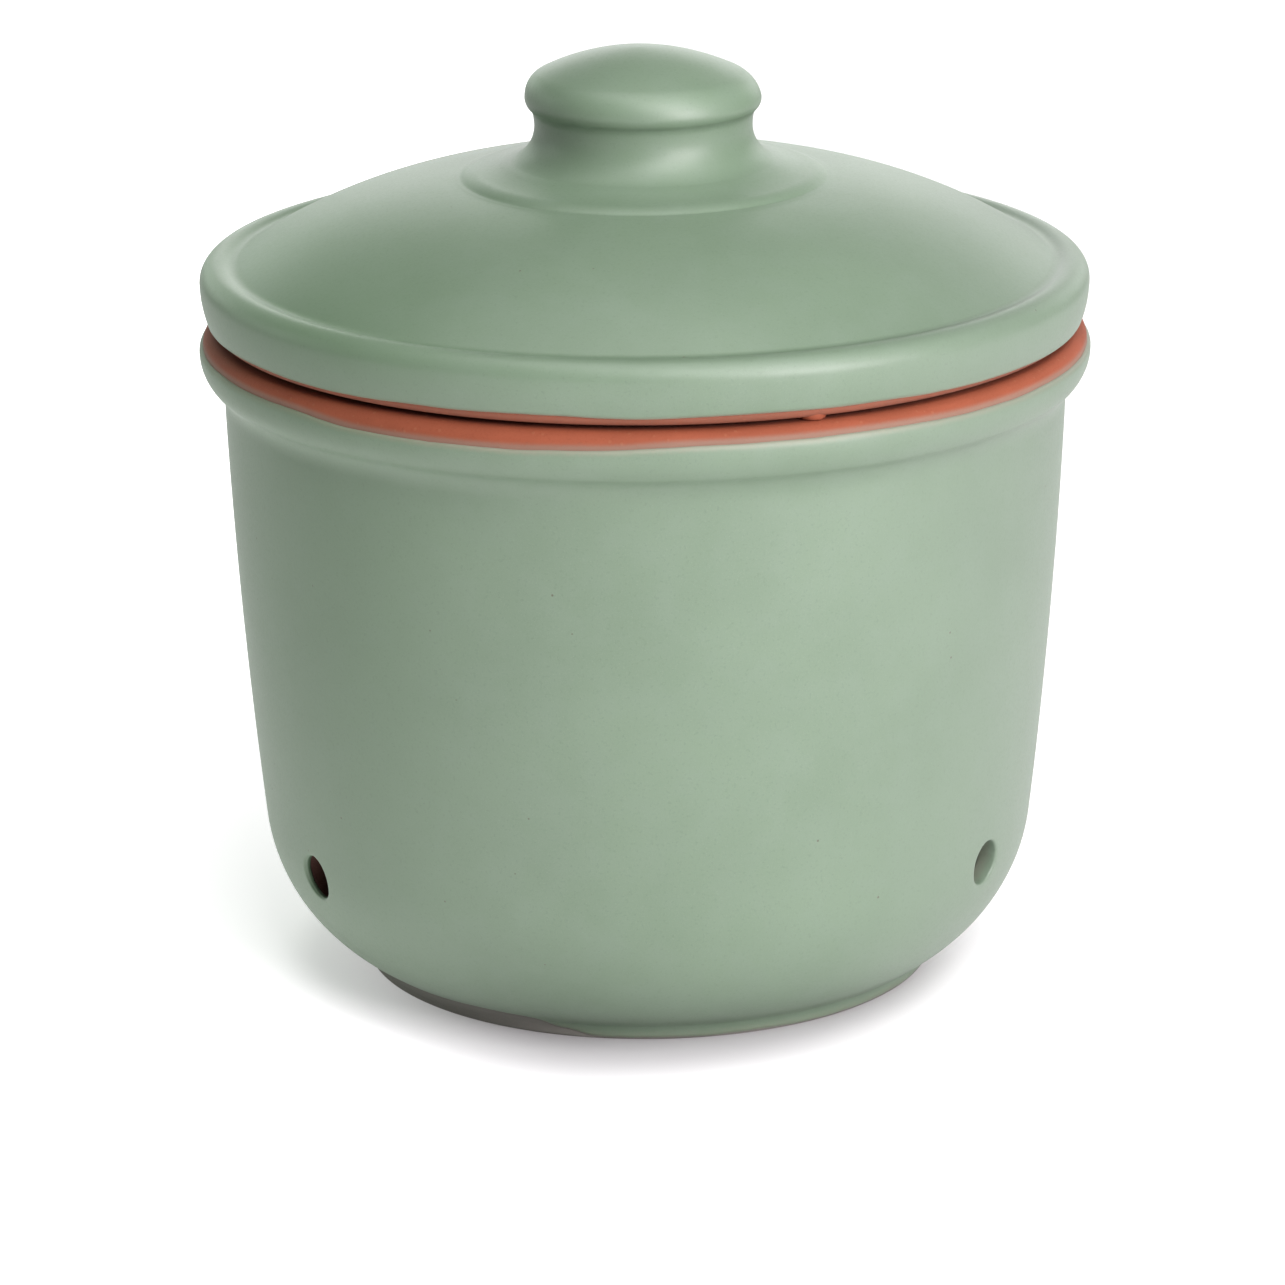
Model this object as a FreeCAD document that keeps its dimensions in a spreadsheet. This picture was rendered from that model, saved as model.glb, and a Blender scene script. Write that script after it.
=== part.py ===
import FreeCAD, Part
import math
import os
from types import SimpleNamespace

import Sketcher

# Garlic keeper: a wheel-thrown earthenware pot on a low foot, with a bead round its mouth and three
# vent bores low in its wall, and a domed lid with a knob that lifts off. Each is a fired clay piece
# with a thin coat of glaze on its outside, and the clay is bare at the rim, inside and underneath.
# The lid stands on three small clay nubs, so that air passes between it and the rim.
# Millimetres. The origin is on the axis in the plane that the foot stands on, +Z is up, -Y is the front.

os.makedirs("parts", exist_ok=True)
doc = FreeCAD.newDocument("garlic_keeper")

# Driving sizes

DRIVING_SIZES = {
    "rim_radius": 75.0,  # over the glazed bead round the mouth
    "pot_height": 111.0,  # foot to the flat crest of the rim
    "bead_projection": 4.0,  # bead beyond the wall below it
    "bead_round": 6.85,  # curve of the bead's face
    "bead_drop": 3.6,  # rim crest down to the widest line of the bead
    "glaze_stop_rise": 1.2,  # widest line of the bead up to the end of the glaze
    "rim_round": 2.4,  # edges of the rim crest
    "wall_thickness": 6.0,  # clay and coat together
    "wall_bow": 0.72,  # how far the wall swells beyond a straight line
    "wall_foot_lean": 6.3,  # degrees, lean of the wall where the round bottom corner begins
    "base_radius": 65.62,  # outside of the wall at that place
    "corner_round": 30.0,  # outside of the bottom corner
    "corner_end": 57.9,  # degrees below level, where the corner stops at the ledge over the foot
    "inner_corner_round": 20.0,
    "floor_thickness": 7.5,  # from the standing plane to the inside floor
    "ledge_width": 3.34,  # foot's side out to the bottom corner
    "foot_height": 4.0,
    "foot_cove": 0.9,  # hollow between the foot and the ledge over it
    "foot_edge_round": 0.5,  # bare lower edge of the foot
    "foot_width": 7.0,  # ring that the pot stands on
    "foot_recess": 2.0,  # how far the bottom is turned up inside that ring
    "glaze_coat": 0.5,
    "vent_diameter": 7.6,
    "vent_height": 24.8,
    "vent_count": 3,
    "nub_height": 1.2,
    "nub_diameter": 4.3,
    "nub_inset": 4.7,  # bead's widest line in to the middle of a nub
    "nub_turn": 52.0,  # degrees from +X round to the first nub
    "nub_root": 1.0,  # depth of a nub inside the clay of the lid
    "nub_count": 3,
    "ring_clearance": 1.5,  # between the lid's ring and the mouth
    "ring_thickness": 4.5,
    "ring_depth": 5.5,  # rim crest down to the end of the ring
    "lid_inset": 0.3,  # lid's widest line inside the bead's
    "lid_edge_inset": 1.0,  # lower glaze edge inside the widest line
    "lid_edge_rise": 1.1,  # underside of the flange up to the glaze, round the bare edge
    "lid_widest_rise": 7.0,  # underside of the flange up to the widest line
    "lip_round": 3.3,
    "lip_end": 112.0,  # degrees round the lip to where the groove begins
    "groove_round": 2.2,
    "dome_start": 57.3,  # degrees above level that the dome faces beside the groove
    "dome_curve": 89.0,
    "dome_rise": 23.8,  # underside of the flange up to the collar
    "dome_thickness": 7.0,
    "collar_reach": 11.95,  # side of the neck out to the side of the collar
    "collar_step": 0.2,
    "collar_edge_round": 0.75,
    "collar_facing": 76.6,  # degrees above level that the collar's top faces
    "neck_rise": 8.4,  # top of the collar's side up to the waist of the neck
    "neck_radius": 18.3,
    "neck_round": 6.35,
    "knob_overhang": 1.3,  # knob's widest line beyond the neck
    "knob_crease_flare": 0.25,  # crease under the knob beyond the neck
    "knob_crease_rise": 3.1,  # waist up to the crease
    "knob_widest_rise": 2.0,  # crease up to the knob's widest line
    "knob_edge_round": 4.8,
    "knob_crown_start": 66.0,  # degrees above level where the edge passes into the crown
    "knob_hollow_radius": 10.5,
    "knob_hollow_flat": 3.5,  # radius of the level end of the hollow
    "knob_crown_thickness": 8.0,
}


class Size:
    """A size as a number, with the words that work it out from the sheet."""

    def __init__(self, number, words=""):
        self.number = float(number)
        self.words = words or repr(self.number)

    def __add__(self, other):
        other = as_size(other)
        return Size(self.number + other.number, f"({self.words} + {other.words})")

    def __sub__(self, other):
        other = as_size(other)
        return Size(self.number - other.number, f"({self.words} - {other.words})")

    def __mul__(self, other):
        other = as_size(other)
        return Size(self.number * other.number, f"({self.words} * {other.words})")

    def __truediv__(self, other):
        other = as_size(other)
        return Size(self.number / other.number, f"({self.words} / {other.words})")


def as_size(value):
    return value if isinstance(value, Size) else Size(value)


def root(value):
    return Size(math.sqrt(value.number), f"sqrt({value.words})")


def cosine(degrees):
    return Size(math.cos(math.radians(degrees.number)), f"cos({degrees.words})")


def sine(degrees):
    return Size(math.sin(math.radians(degrees.number)), f"sin({degrees.words})")


sheet = doc.addObject("Spreadsheet::Sheet", "Sizes")
for row, (name, number) in enumerate(DRIVING_SIZES.items(), start=1):
    sheet.set(f"A{row}", name.replace("_", " "))
    sheet.set(f"B{row}", str(number))
    sheet.setAlias(f"B{row}", name)
size = SimpleNamespace(**{name: Size(number, f"Sizes.{name}") for name, number in DRIVING_SIZES.items()})
doc.recompute()

# Places that several outlines share, each kept under a name of its own

places = doc.addObject("App::VarSet", "Places")


def place(name, value):
    """Keeps a worked-out size in the document, bound to the sizes that it follows."""
    places.addProperty("App::PropertyFloat", name)
    places.setExpression(name, value.words)
    return Size(value.number, f"Places.{name}")


def arc_level_at_end(across, along):
    """Radius of the arc that is square to the across direction at its far end."""
    return (across * across + along * along) / (across * 2)


def arc_with_bow(first, last, bow):
    """Radius of the arc from one point to another that swells out by bow between them."""
    across = last[0] - first[0]
    along = last[1] - first[1]
    return ((across * across + along * along) / 4 + bow * bow) / (bow * 2)


def on_circle(across, up, radius, degrees):
    """Point of a circle in the direction of degrees above level, seen from its middle."""
    return across + radius * cosine(degrees), up + radius * sine(degrees)


zero = Size(0)

wall_radius = place("wall_radius", size.rim_radius - size.bead_projection)
mouth_radius = place("mouth_radius", wall_radius - size.wall_thickness)
bead_height = place("bead_height", size.pot_height - size.bead_drop)
glaze_stop_height = place("glaze_stop_height", bead_height + size.glaze_stop_rise)
seat_height = place("seat_height", size.pot_height + size.nub_height)
lid_radius = place("lid_radius", size.rim_radius - size.lid_inset)
widest_height = place("widest_height", seat_height + size.lid_widest_rise)
collar_height = place("collar_height", seat_height + size.dome_rise)
waist_height = place("waist_height", collar_height + size.collar_step + size.neck_rise)
crease_height = place("crease_height", waist_height + size.knob_crease_rise)
knob_height = place("knob_height", crease_height + size.knob_widest_rise)
collar_radius = place("collar_radius", size.neck_radius + size.collar_reach)
knob_radius = place("knob_radius", size.neck_radius + size.knob_overhang)
corner_across = place("corner_across", size.base_radius - size.corner_round * cosine(size.wall_foot_lean))
corner_up = place("corner_up", size.foot_height + size.corner_round * sine(size.corner_end))
ledge_radius = corner_across + size.corner_round * cosine(size.corner_end)
foot_radius = place("foot_radius", ledge_radius - size.ledge_width)

# An outline is a list of points (radius, height, bend): bend tells how the outline reaches the point
# from the one before it, straight when it is None, or round to the left or right with a radius.


def left(radius):
    return "left", radius


def right(radius):
    return "right", radius


def backwards(outline):
    """The same stretch of outline drawn from its far end, reached straight."""
    other_way = {"left": "right", "right": "left"}
    stretch = []
    bend = None
    for across, up, reached_by in reversed(outline):
        stretch.append((across, up, bend))
        bend = reached_by and (other_way[reached_by[0]], reached_by[1])
    return stretch


def pot_outside(inset):
    """Outside of the pot from the foot up to the glaze's end under the rim, lying inset below the glaze."""
    cove = size.foot_cove + inset
    foot_side = foot_radius - inset
    ledge = size.foot_height + inset
    corner = size.corner_round - inset
    ledge_edge_across = corner_across + root(corner * corner - (corner_up - ledge) * (corner_up - ledge))
    wall_foot = on_circle(corner_across, corner_up, corner, zero - size.wall_foot_lean)
    bead = size.bead_round - inset
    bead_across = size.rim_radius - size.bead_round
    wall_top_across = wall_radius - inset
    bead_half = wall_top_across - bead_across
    wall_top = (wall_top_across, bead_height - root(bead * bead - bead_half * bead_half))
    stop_rise = glaze_stop_height - bead_height
    stop_across = bead_across + root(bead * bead - stop_rise * stop_rise)
    return [
        (foot_side, size.foot_edge_round, None),
        (foot_side, ledge - cove, None),
        (foot_side + cove, ledge, right(cove)),
        (ledge_edge_across, ledge, None),
        (wall_foot[0], wall_foot[1], left(corner)),
        (wall_top[0], wall_top[1], left(arc_with_bow(wall_foot, wall_top, size.wall_bow))),
        (size.rim_radius - inset, bead_height, left(bead)),
        (stop_across, glaze_stop_height, left(bead)),
    ]


def pot_clay():
    """Whole half-section of the pot's clay."""
    outside = pot_outside(size.glaze_coat)
    rim_edge_across = outside[-1][0] - size.rim_round
    rim_edge_curve = arc_level_at_end(size.bead_drop - size.glaze_stop_rise, size.rim_round)
    inner = size.inner_corner_round
    inner_across = size.base_radius - size.wall_thickness - inner * cosine(size.wall_foot_lean)
    inner_up = size.floor_thickness + inner
    inner_foot = on_circle(inner_across, inner_up, inner, zero - size.wall_foot_lean)
    inner_top = (mouth_radius, size.pot_height - size.rim_round)
    standing_edge = foot_radius - size.glaze_coat - size.foot_edge_round
    recess_edge = foot_radius - size.foot_width
    return [
        (zero, size.foot_recess, None),
        (recess_edge - size.foot_recess, size.foot_recess, None),
        (recess_edge, zero, None),
        (standing_edge, zero, None),
        (outside[0][0], outside[0][1], left(size.foot_edge_round)),
        *outside[1:],
        (rim_edge_across, size.pot_height, left(rim_edge_curve)),
        (mouth_radius + size.rim_round, size.pot_height, None),
        (inner_top[0], inner_top[1], left(size.rim_round)),
        (inner_foot[0], inner_foot[1], right(arc_with_bow(inner_foot, inner_top, size.wall_bow))),
        (inner_across, size.floor_thickness, right(inner)),
        (zero, size.floor_thickness, None),
    ]


def lid_outside(inset):
    """Outside of the lid from the glaze's lower edge up to the crown, lying inset below the glaze."""
    lip = size.lip_round - inset
    groove = size.groove_round + inset
    lip_across = lid_radius - size.lip_round
    lip_last = on_circle(lip_across, widest_height, lip, size.lip_end)
    groove_across, groove_up = on_circle(
        lip_across, widest_height, size.lip_round + size.groove_round, size.lip_end
    )
    dome_first = (groove_across - groove * cosine(size.dome_start), groove_up - groove * sine(size.dome_start))
    collar_side = collar_radius - inset
    collar_edge = size.collar_edge_round
    collar_edge_across = collar_side - collar_edge
    collar_edge_up = collar_height + size.collar_step - inset
    collar_top = on_circle(collar_edge_across, collar_edge_up, collar_edge, size.collar_facing)
    neck = size.neck_round + inset
    neck_across = size.neck_radius + size.neck_round
    neck_foot = (neck_across - neck * cosine(size.collar_facing), waist_height - neck * sine(size.collar_facing))
    waist = size.neck_radius - inset
    crease = waist + size.knob_crease_flare
    knob_side = knob_radius - inset
    knob_edge = size.knob_edge_round - inset
    edge_across = knob_radius - size.knob_edge_round
    edge_last = on_circle(edge_across, knob_height, knob_edge, size.knob_crown_start)
    crown_reach = edge_across / cosine(size.knob_crown_start)
    crown = knob_edge + crown_reach
    crown_top = knob_height - crown_reach * sine(size.knob_crown_start) + crown
    return [
        (lid_radius - size.lid_edge_inset - inset, seat_height + size.lid_edge_rise, None),
        (
            lid_radius - inset,
            widest_height,
            left(arc_level_at_end(size.lid_edge_inset, size.lid_widest_rise - size.lid_edge_rise)),
        ),
        (lip_last[0], lip_last[1], left(lip)),
        (dome_first[0], dome_first[1], right(groove)),
        (collar_side, collar_height - inset, left(size.dome_curve)),
        (collar_side, collar_edge_up, None),
        (collar_top[0], collar_top[1], left(collar_edge)),
        (neck_foot[0], neck_foot[1], None),
        (waist, waist_height, right(neck)),
        (crease, crease_height, right(arc_level_at_end(size.knob_crease_flare, size.knob_crease_rise))),
        (knob_side, knob_height, left(arc_level_at_end(knob_side - crease, size.knob_widest_rise))),
        (edge_last[0], edge_last[1], left(knob_edge)),
        (zero, crown_top, left(crown)),
    ]


def lid_clay():
    """Whole half-section of the lid's clay, apart from its nubs."""
    outside = lid_outside(size.glaze_coat)
    edge_across, edge_up, _ = outside[0]
    flange_edge = edge_across - size.lid_edge_rise
    ring_outer = mouth_radius - size.ring_clearance
    ring_inner = ring_outer - size.ring_thickness
    ring_end = size.pot_height - size.ring_depth
    ring_round = size.ring_thickness / 2
    dome_foot = (ring_inner, widest_height)
    hollow_foot = (size.knob_hollow_radius, collar_height - size.dome_thickness + size.collar_step)
    hollow_top = outside[-1][1] - size.knob_crown_thickness
    hollow_round = size.knob_hollow_radius - size.knob_hollow_flat
    return [
        (zero, hollow_top, None),
        (size.knob_hollow_flat, hollow_top, None),
        (size.knob_hollow_radius, hollow_top - hollow_round, right(hollow_round)),
        (hollow_foot[0], hollow_foot[1], None),
        (dome_foot[0], dome_foot[1], right(size.dome_curve - size.dome_thickness)),
        (ring_inner, ring_end + ring_round, None),
        (ring_inner + ring_round, ring_end, left(ring_round)),
        (ring_outer, ring_end + ring_round, left(ring_round)),
        (ring_outer, seat_height, None),
        (flange_edge, seat_height, None),
        (edge_across, edge_up, left(size.lid_edge_rise)),
        *outside[1:],
    ]


def coat(surface):
    """Half-section of a coat of glaze between the clay and the glazed surface."""
    return [*surface(zero), *backwards(surface(size.glaze_coat))]


# Bodies


def origin_feature(body, role):
    return next(feature for feature in body.Origin.OriginFeatures if feature.Role == role)


def new_body(label):
    body = doc.addObject("PartDesign::Body", label)
    body.Label = label
    body.Placement = FreeCAD.Placement()
    return body


def new_sketch(body, name, plane):
    sketch = body.newObject("Sketcher::SketchObject", name)
    sketch.AttachmentSupport = (origin_feature(body, plane), "")
    sketch.MapMode = "FlatFace"
    return sketch


def bind(sketch, kind, *arguments):
    """Adds a constraint whose last argument is a size, and ties it to the sheet."""
    *where, value = arguments
    index = sketch.addConstraint(Sketcher.Constraint(kind, *where, value.number))
    sketch.setExpression(f"Constraints[{index}]", value.words)


def bind_point(sketch, curve, end, across, up):
    """Places one end of a curve from the sketch's axes."""
    if across.number == 0:
        sketch.addConstraint(Sketcher.Constraint("PointOnObject", curve, end, -2))
    else:
        bind(sketch, "DistanceX", -1, 1, curve, end, across)
    if up.number == 0:
        sketch.addConstraint(Sketcher.Constraint("PointOnObject", curve, end, -1))
    else:
        bind(sketch, "DistanceY", -1, 1, curve, end, up)


def curve_between(start, finish, bend):
    """Line or arc between two points, and which ends of it are the start and the finish."""
    first = FreeCAD.Vector(start[0].number, start[1].number, 0)
    last = FreeCAD.Vector(finish[0].number, finish[1].number, 0)
    if bend is None:
        return Part.LineSegment(first, last), 1, 2
    side, radius = bend
    if side == "right":
        first, last = last, first
    chord = last - first
    offset = math.sqrt(radius.number ** 2 - (chord.Length / 2) ** 2)
    sideways = FreeCAD.Vector(-chord.y, chord.x, 0).normalize()
    middle = (first + last) / 2 + sideways * offset
    from_angle = math.atan2(first.y - middle.y, first.x - middle.x)
    to_angle = math.atan2(last.y - middle.y, last.x - middle.x)
    circle = Part.Circle(middle, FreeCAD.Vector(0, 0, 1), radius.number)
    arc = Part.ArcOfCircle(circle, from_angle, to_angle)
    return (arc, 2, 1) if side == "right" else (arc, 1, 2)


def draw_outline(sketch, outline):
    """Draws a closed outline with every point and radius tied to the sheet."""
    first_end = before_end = None
    for index, start in enumerate(outline):
        finish = outline[(index + 1) % len(outline)]
        bend = finish[2]
        curve, start_end, finish_end = curve_between(start, finish, bend)
        sketch.addGeometry(curve)
        if index:
            sketch.addConstraint(Sketcher.Constraint("Coincident", index - 1, before_end, index, start_end))
        else:
            first_end = start_end
        before_end = finish_end
    last = len(outline) - 1
    sketch.addConstraint(Sketcher.Constraint("Coincident", last, before_end, 0, first_end))
    for index, start in enumerate(outline):
        bend = outline[(index + 1) % len(outline)][2]
        start_end = 2 if bend and bend[0] == "right" else 1
        bind_point(sketch, index, start_end, start[0], start[1])
        if bend:
            bind(sketch, "Radius", index, bend[1])


def turn_outline(body, name, outline):
    """Turns an outline once round the axis."""
    sketch = new_sketch(body, f"{name}_outline", "XZ_Plane")
    draw_outline(sketch, outline)
    turned = body.newObject("PartDesign::Revolution", name)
    turned.Profile = sketch
    turned.ReferenceAxis = (sketch, ["V_Axis"])
    turned.Angle = 360
    doc.recompute()
    return turned


def repeat_round_axis(body, name, feature, count):
    pattern = body.newObject("PartDesign::PolarPattern", name)
    pattern.Originals = [feature]
    pattern.Axis = (origin_feature(body, "Z_Axis"), [""])
    pattern.Angle = 360
    pattern.setExpression("Occurrences", count.words)
    body.Tip = pattern
    doc.recompute()


def bore_vents(body):
    """Bores one vent straight out at the back and repeats it round the axis."""
    volume_before = body.Shape.Volume
    sketch = new_sketch(body, f"{body.Name}_vent_outline", "XZ_Plane")
    middle = FreeCAD.Vector(0, size.vent_height.number, 0)
    radius = size.vent_diameter / 2
    sketch.addGeometry(Part.Circle(middle, FreeCAD.Vector(0, 0, 1), radius.number))
    bind_point(sketch, 0, 3, zero, size.vent_height)
    bind(sketch, "Radius", 0, radius)
    vent = body.newObject("PartDesign::Pocket", f"{body.Name}_vent")
    vent.Profile = sketch
    vent.Type = "Length"
    vent.setExpression("Length", size.rim_radius.words)
    vent.Reversed = False
    doc.recompute()
    repeat_round_axis(body, f"{body.Name}_vents", vent, size.vent_count)
    if not body.Shape.Volume < volume_before:
        raise RuntimeError(f"the vents of {body.Label} cut nothing")


def add_nubs(body):
    """Adds one nub under the flange and repeats it round the axis."""
    volume_before = body.Shape.Volume
    sketch = new_sketch(body, "nub_outline", "XY_Plane")
    sketch.setExpression("AttachmentOffset.Base.z", size.pot_height.words)
    across, up = on_circle(zero, zero, size.rim_radius - size.nub_inset, size.nub_turn)
    radius = size.nub_diameter / 2
    middle = FreeCAD.Vector(across.number, up.number, 0)
    sketch.addGeometry(Part.Circle(middle, FreeCAD.Vector(0, 0, 1), radius.number))
    bind_point(sketch, 0, 3, across, up)
    bind(sketch, "Radius", 0, radius)
    nub = body.newObject("PartDesign::Pad", "nub")
    nub.Profile = sketch
    nub.setExpression("Length", (size.nub_height + size.nub_root).words)
    doc.recompute()
    repeat_round_axis(body, "nubs", nub, size.nub_count)
    if not body.Shape.Volume > volume_before:
        raise RuntimeError("the nubs add nothing to the lid")


def make_pot_body():
    body = new_body("pot_body")
    turn_outline(body, "thrown_pot", pot_clay())
    bore_vents(body)
    return body


def make_pot_glaze():
    body = new_body("pot_glaze")
    turn_outline(body, "pot_coat", coat(pot_outside))
    bore_vents(body)
    return body


def make_lid_body():
    body = new_body("lid_body")
    turn_outline(body, "thrown_lid", lid_clay())
    add_nubs(body)
    return body


def make_lid_glaze():
    body = new_body("lid_glaze")
    turn_outline(body, "lid_coat", coat(lid_outside))
    return body


pieces = [make_pot_body(), make_pot_glaze(), make_lid_body(), make_lid_glaze()]
doc.recompute()

for item in doc.Objects:
    if "Invalid" in item.State or "Error" in item.State:
        raise RuntimeError(f"{item.Label} did not build: {item.State}")
for piece in pieces:
    if piece.Shape.isNull() or not piece.Shape.isValid():
        raise RuntimeError(f"{piece.Label} has no valid solid")
    piece.Shape.exportStep(f"parts/{piece.Label}.step")
    box = piece.Shape.BoundBox
    print(
        f"{piece.Label}: {len(piece.Shape.Solids)} solid, {piece.Shape.Volume:.0f} mm3,"
        f" radius {box.XMax:.2f}, from {box.ZMin:.2f} up to {box.ZMax:.2f}"
    )
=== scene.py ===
import math
from collections import namedtuple

import bmesh
import bpy
from mathutils import Matrix, Vector, noise


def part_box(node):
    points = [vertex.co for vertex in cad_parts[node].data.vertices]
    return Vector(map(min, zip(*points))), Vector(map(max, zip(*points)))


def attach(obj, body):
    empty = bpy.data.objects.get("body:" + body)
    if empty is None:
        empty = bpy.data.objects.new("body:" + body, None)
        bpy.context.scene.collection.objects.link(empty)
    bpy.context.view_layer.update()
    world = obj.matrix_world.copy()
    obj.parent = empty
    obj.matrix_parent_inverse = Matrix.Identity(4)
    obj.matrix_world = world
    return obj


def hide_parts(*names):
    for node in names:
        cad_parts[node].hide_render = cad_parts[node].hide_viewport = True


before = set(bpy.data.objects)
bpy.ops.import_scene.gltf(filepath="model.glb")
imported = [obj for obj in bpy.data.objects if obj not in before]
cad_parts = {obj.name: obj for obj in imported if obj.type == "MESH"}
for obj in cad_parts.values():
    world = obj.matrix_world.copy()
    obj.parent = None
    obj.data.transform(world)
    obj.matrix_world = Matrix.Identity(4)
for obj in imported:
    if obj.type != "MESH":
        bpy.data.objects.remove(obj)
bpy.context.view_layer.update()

# Garlic keeper: a thrown pot on a low foot and a loose domed lid, both of red earthenware with a
# satin sage glaze outside. The clay is bare at the rim, on the lid's underside and inside.
# Outlines are in millimetres, across from the axis and up from the foot, and become metres as they
# are turned into meshes. -Y is the front. The overall heights and radii come from the frame.
# A pair of values is a point of an outline, (across, up). An EASE is how far a corner is eased.

MM = 0.001


def low_and_high(node):
    """Lowest and highest corner of a node, in millimetres."""
    low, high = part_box(node)
    return low / MM, high / MM


_, pot_high = low_and_high("pot_body")
pot_coat_low, pot_coat_high = low_and_high("pot_glaze")
lid_low, _ = low_and_high("lid_body")
lid_coat_low, lid_coat_high = low_and_high("lid_glaze")

RIM_RADIUS = pot_coat_high.x
RIM_CREST = pot_high.z
GLAZE_COAT = RIM_RADIUS - pot_high.x
POT_GLAZE_TOP = pot_coat_high.z
LID_RADIUS = lid_coat_high.x
LID_GLAZE_FOOT = lid_coat_low.z
CROWN_TOP = lid_coat_high.z
RING_END = lid_low.z

# Pot

FOOT_RADIUS = 49.2
FOOT_STRAIGHT = 1.03
FOOT_HOLLOW = (50.375, 3.15)
FOOT_HOLLOW_ROUND = 2.5
FOOT_RING_INNER = 41.4
FOOT_RECESS = 2.0
RECESS_EASE = 1.0
FOOT_INNER_EASE = 0.6
FOOT_OUTER_EASE = 0.5
FOOT_JOIN = 0.3
WALL_START = (51.74, 4.0)
WALL_START_EASE = 1.5
CORNER_ROUND = 30.0
WALL_FOOT = (65.62, 26.12)
WALL_TOP = (71.0, 101.17)
WALL_TOP_EASE = 2.8
WALL_ROUND = 980.0
BEAD_ROUND = 6.85
BEAD_HEIGHT = RIM_CREST - 3.6
WALL_THICKNESS = 6.0
RIM_ROUND = 2.4
MOUTH_RADIUS = WALL_TOP[0] - WALL_THICKNESS
INNER_CORNER = 20.0
INNER_FLOOR = 7.5
INNER_CORNER_ACROSS = 39.74
INNER_WALL_FOOT = (59.62, 25.31)

# Vents: the grid's turn that each is cut at, its own turn, both in degrees from +X, its height, and
# how deep the glaze has run in, where 1 is the usual depth

Vent = namedtuple("Vent", "grid_turn turn height glaze_depth")
VENT_HEIGHT = 24.8
VENTS = (Vent(90, 90, 24.8, 1.0), Vent(210, 211.2, 23.8, 0.5), Vent(330, 329.7, 25.3, 2.1))

# Lid

SEAT = RIM_CREST + 1.2
FLANGE_UNDER = SEAT - 0.5
WIDEST = SEAT + 7.0
LID_EDGE_IN = 1.0
LID_EDGE_TURN = 0.525
LIP_SIDE_ROUND = 17.9
LIP_ROUND = 3.3
LIP_LAST = (70.2, 122.1)
GROOVE_ROUND = 2.2
DOME_FIRST = (68.2, 122.2)
DOME_CURVE = 89.0
COLLAR_START = 30.45
COLLAR_FOOT = 136.0
COLLAR_FOOT_DOWN = 0.05
COLLAR_FOOT_EASE = 1.9
COLLAR_TOP = (29.67, 136.93)
COLLAR_TOP_EASE = 1.7
NECK_FOOT = (23.18, 138.42)
NECK_FOOT_ROUND = 26.0
NECK_FOOT_EASE = 1.0
NECK_ROUND = 6.35
NECK_RADIUS = 18.3
WAIST = 144.6
CREASE = (18.6, 147.2)
CREASE_ROUND = 19.3
CREASE_EASE = 0.9
KNOB_RADIUS = 19.85
KNOB_WIDEST = 149.2
KNOB_UNDER_ROUND = 2.43
KNOB_EDGE = 5.1
KNOB_SHOULDER = (16.55, 153.75)
SHOULDER_TURN = 66
KNOB_LEAN = -0.7
RING_CLEARANCE = 1.5
RING_THICKNESS = 4.5
RING_TOP_EASE = 2.5
RING_SEAT_EASE = 1.2
DOME_THICKNESS = 7.0
KNOB_HOLLOW = 10.5
KNOB_HOLLOW_FLAT = 3.5
KNOB_CROWN_THICKNESS = 8.0
HOLLOW_FOOT_UP = 0.2
HOLLOW_FOOT_EASE = 2.2
NUB_RADIUS = 70.3
NUB_TURNS = (52, 172, 292)
NUB_SIZE = 4.3
NUB_FLARE = 0.5
NUB_EDGE = 0.45
NUB_SUNK = 1.2
NUB_SIDES = 32

# How finely surfaces are laid out. A vent's hole leaves out VENT_SPAN rows and columns each way
# from its middle, and the grid is rounded about it out to VENT_REACH. Its rings are (radius, depth).
# JOIN_STEPS is how much of the glazed line is left out where the bare foot joins it.

OUTSIDE, INSIDE, BORE, BORE_BACK = range(4)
COLUMNS = 288
DOUBLINGS = 4
COLUMN_TURN = 360 / COLUMNS
LINE_STEP = 0.1
END_STEP = 0.15
BEND_STEP = 0.12
CORNER_COARSER = 1.6
STEP_GROWTH = 0.22
COAT_STEP = 1.5
POT_OUTSIDE_STEP = 2.6
POT_INSIDE_STEP = 2.2
LID_CLAY_STEP = 2.4
JOIN_STEPS = 4
VENT_SPAN = 3
VENT_REACH = 7
VENT_RING = 4.7
VENT_GLAZE_RINGS = (
    (4.25, 0.01), (4.03, 0.07), (3.9, 0.19), (3.82, 0.4), (3.77, 0.8), (3.74, 1.4), (3.8, 2.0),
)
VENT_GLAZE_BACK = ((4.2, 0.0), (4.0, 0.2), (3.93, 0.9), (3.88, 1.55))
VENT_CLAY_OUTER_RINGS = ((4.25, 0.03), (3.98, 0.2), (3.86, 0.6))
VENT_CLAY_INNER_RINGS = ((4.45, -0.02), (4.1, -0.25), (3.9, -0.7))
VENT_EDGE_DEPTH = 0.5
COAT_NOSE = 0.9
COAT_SINK = 0.06

# How hand work departs from the outlines. A wander is (reach, how often, seed), and its FADE is how
# far from the edge it dies away. Rises and drops are (degrees from the front toward +X, millimetres).

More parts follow.
